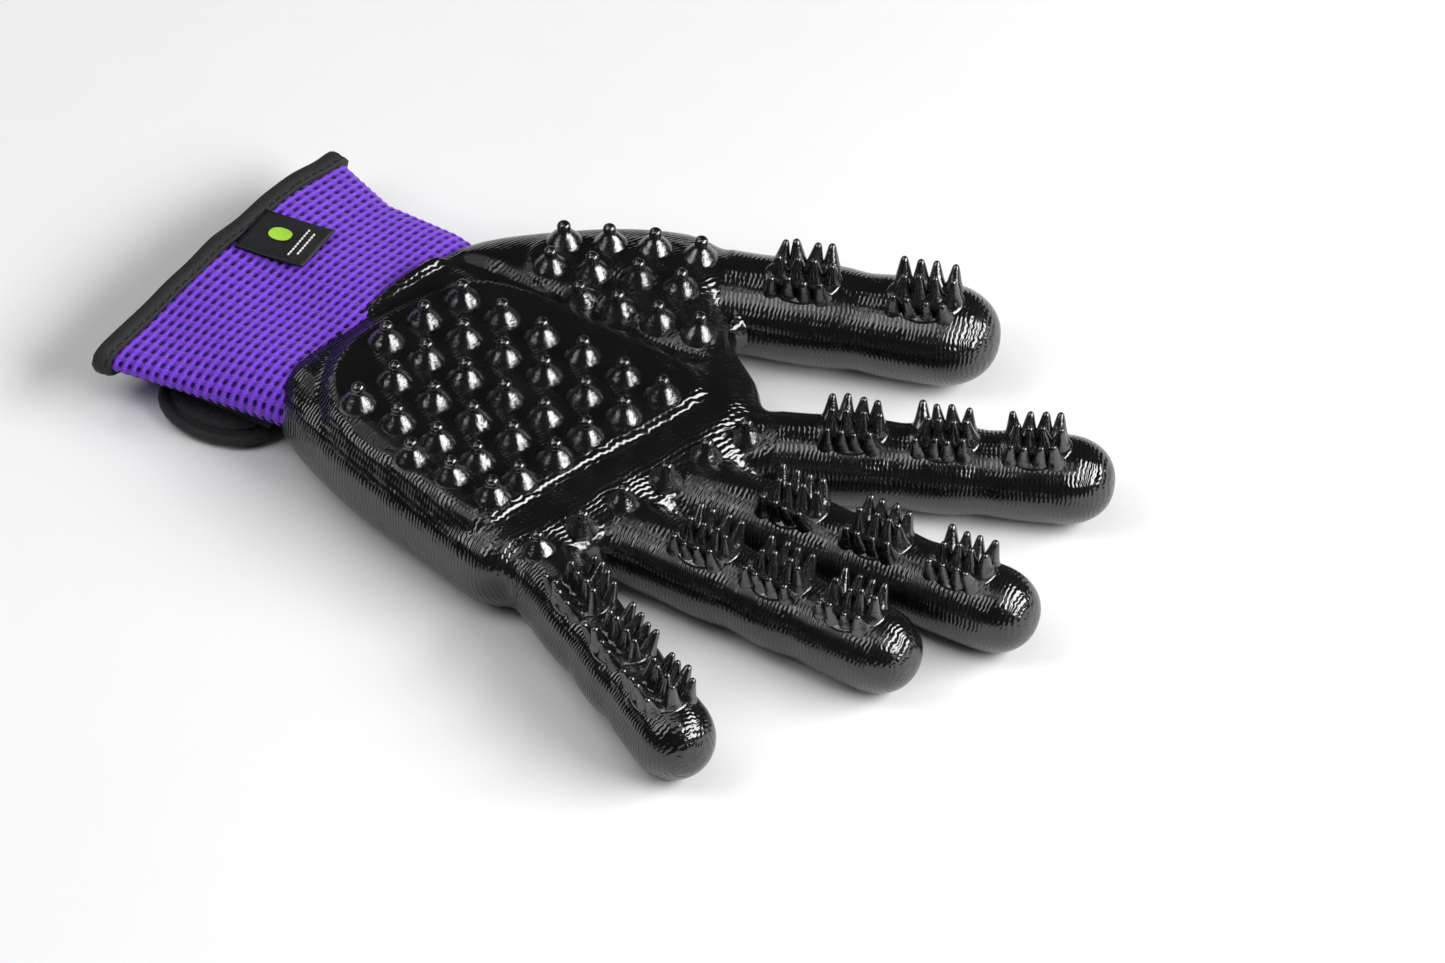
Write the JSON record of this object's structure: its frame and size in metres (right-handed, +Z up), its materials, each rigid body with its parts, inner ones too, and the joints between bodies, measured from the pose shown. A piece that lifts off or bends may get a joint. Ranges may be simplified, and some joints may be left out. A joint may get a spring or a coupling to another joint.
{
  "type": "grooming glove",
  "caption": "Rubber-coated left-hand glove with soft nubs on the palm and spike pads on the fingers, a mesh cuff, and a hook-and-loop wrist strap, for brushing and bathing pets.",
  "frame": {"origin": "middle of the glove's footprint, on the surface it lies on", "axes": "+X from the wrist to the fingertips, +Y to the thumb side, +Z up out of the palm"},
  "size_m": [0.2629, 0.1937, 0.0351],
  "materials": {
    "rubber": "glossy dipped coat with a fine rib",
    "knit": "fine violet knit",
    "air_mesh": "open violet air mesh",
    "binding": "black woven tape",
    "hook_and_loop": "black hook-and-loop pile",
    "badge": "satin moulded badge",
    "emblem": "satin violet inlay",
    "label": "black woven satin label"
  },
  "bodies": {
    "palm": {"palm_coat": "rubber", "back_panel": "knit", "palm_nub_pad": "rubber", "thumb_nub_pad": "rubber", "knuckle_nub_strip": "rubber", "cuff_mesh": "air_mesh", "hem_binding": "binding", "slit_binding": "binding", "loop_panel": "hook_and_loop", "strap_anchor": "binding"},
    "index_proximal_segment": {"index_proximal": "rubber", "index_proximal_spikes": "rubber"},
    "index_middle_segment": {"index_middle": "rubber", "index_middle_spikes": "rubber"},
    "index_tip_segment": {"index_tip": "rubber", "index_tip_spikes": "rubber"},
    "middle_proximal_segment": {"middle_proximal": "rubber", "middle_proximal_spikes": "rubber"},
    "middle_middle_segment": {"middle_middle": "rubber", "middle_middle_spikes": "rubber"},
    "middle_tip_segment": {"middle_tip": "rubber", "middle_tip_spikes": "rubber"},
    "ring_proximal_segment": {"ring_proximal": "rubber", "ring_proximal_spikes": "rubber"},
    "ring_middle_segment": {"ring_middle": "rubber", "ring_middle_spikes": "rubber"},
    "ring_tip_segment": {"ring_tip": "rubber", "ring_tip_spikes": "rubber"},
    "pinky_proximal_segment": {"pinky_proximal": "rubber", "pinky_proximal_spikes": "rubber"},
    "pinky_middle_segment": {"pinky_middle": "rubber", "pinky_middle_spikes": "rubber"},
    "pinky_tip_segment": {"pinky_tip": "rubber", "pinky_tip_spikes": "rubber"},
    "thumb_base_segment": {"thumb_base": "rubber", "thumb_base_spikes": "rubber"},
    "thumb_tip_segment": {"thumb_tip": "rubber", "thumb_tip_spikes": "rubber"},
    "strap": {"strap_tape": "binding", "hook_pad": "hook_and_loop", "strap_patch": "badge", "patch_emblem": "emblem"},
    "label_flap": {"hem_label": "label"}
  },
  "joints": [
    {"name": "index_knuckle_bend", "type": "hinge", "parent": "palm", "child": "index_proximal_segment", "pos_m": [0.04426, 0.02249, 0.0229], "axis": [0.4226, -0.9063, 0], "range_deg": [0, 50]},
    {"name": "index_middle_bend", "type": "hinge", "parent": "index_proximal_segment", "child": "index_middle_segment", "pos_m": [0.06873, 0.0339, 0.0229], "axis": [0.4226, -0.9063, 0], "range_deg": [0, 45]},
    {"name": "index_tip_bend", "type": "hinge", "parent": "index_middle_segment", "child": "index_tip_segment", "pos_m": [0.08939, 0.04354, 0.0229], "axis": [0.4226, -0.9063, 0], "range_deg": [0, 35]},
    {"name": "middle_knuckle_bend", "type": "hinge", "parent": "palm", "child": "middle_proximal_segment", "pos_m": [0.04427, -0.00449, 0.0229], "axis": [0.061, -0.9981, 0], "range_deg": [0, 50]},
    {"name": "middle_middle_bend", "type": "hinge", "parent": "middle_proximal_segment", "child": "middle_middle_segment", "pos_m": [0.07242, -0.00276, 0.0229], "axis": [0.061, -0.9981, 0], "range_deg": [0, 45]},
    {"name": "middle_tip_bend", "type": "hinge", "parent": "middle_middle_segment", "child": "middle_tip_segment", "pos_m": [0.09589, -0.00133, 0.0229], "axis": [0.061, -0.9981, 0], "range_deg": [0, 35]},
    {"name": "ring_knuckle_bend", "type": "hinge", "parent": "palm", "child": "ring_proximal_segment", "pos_m": [0.03529, -0.02835, 0.0229], "axis": [-0.0175, -0.9998, 0], "range_deg": [0, 50]},
    {"name": "ring_middle_bend", "type": "hinge", "parent": "ring_proximal_segment", "child": "ring_middle_segment", "pos_m": [0.05988, -0.02878, 0.0229], "axis": [-0.0175, -0.9998, 0], "range_deg": [0, 45]},
    {"name": "ring_tip_bend", "type": "hinge", "parent": "ring_middle_segment", "child": "ring_tip_segment", "pos_m": [0.08124, -0.02915, 0.0229], "axis": [-0.0175, -0.9998, 0], "range_deg": [0, 35]},
    {"name": "pinky_knuckle_bend", "type": "hinge", "parent": "palm", "child": "pinky_proximal_segment", "pos_m": [0.02091, -0.05649, 0.0229], "axis": [-0.4848, -0.8746, 0], "range_deg": [0, 50]},
    {"name": "pinky_middle_bend", "type": "hinge", "parent": "pinky_proximal_segment", "child": "pinky_middle_segment", "pos_m": [0.04033, -0.06725, 0.0229], "axis": [-0.4848, -0.8746, 0], "range_deg": [0, 45]},
    {"name": "pinky_tip_bend", "type": "hinge", "parent": "pinky_middle_segment", "child": "pinky_tip_segment", "pos_m": [0.05775, -0.07691, 0.0229], "axis": [-0.4848, -0.8746, 0], "range_deg": [0, 35]},
    {"name": "thumb_base_bend", "type": "hinge", "parent": "palm", "child": "thumb_base_segment", "pos_m": [0.00129, 0.06484, 0.0253], "axis": [0.3256, -0.9455, 0], "range_deg": [0, 45]},
    {"name": "thumb_tip_bend", "type": "hinge", "parent": "thumb_base_segment", "child": "thumb_tip_segment", "pos_m": [0.03154, 0.07526, 0.0253], "axis": [0.3256, -0.9455, 0], "range_deg": [0, 50]},
    {"name": "cuff_strap_open", "type": "hinge", "parent": "palm", "child": "strap", "pos_m": [-0.09971, 0.03384, 0.0008], "axis": [1, 0, 0], "range_deg": [0, 180]},
    {"name": "hem_label_lift", "type": "hinge", "parent": "palm", "child": "label_flap", "pos_m": [-0.1198, 0.0128, 0.0218], "axis": [0, -1, 0], "range_deg": [0, 110]}
  ]
}
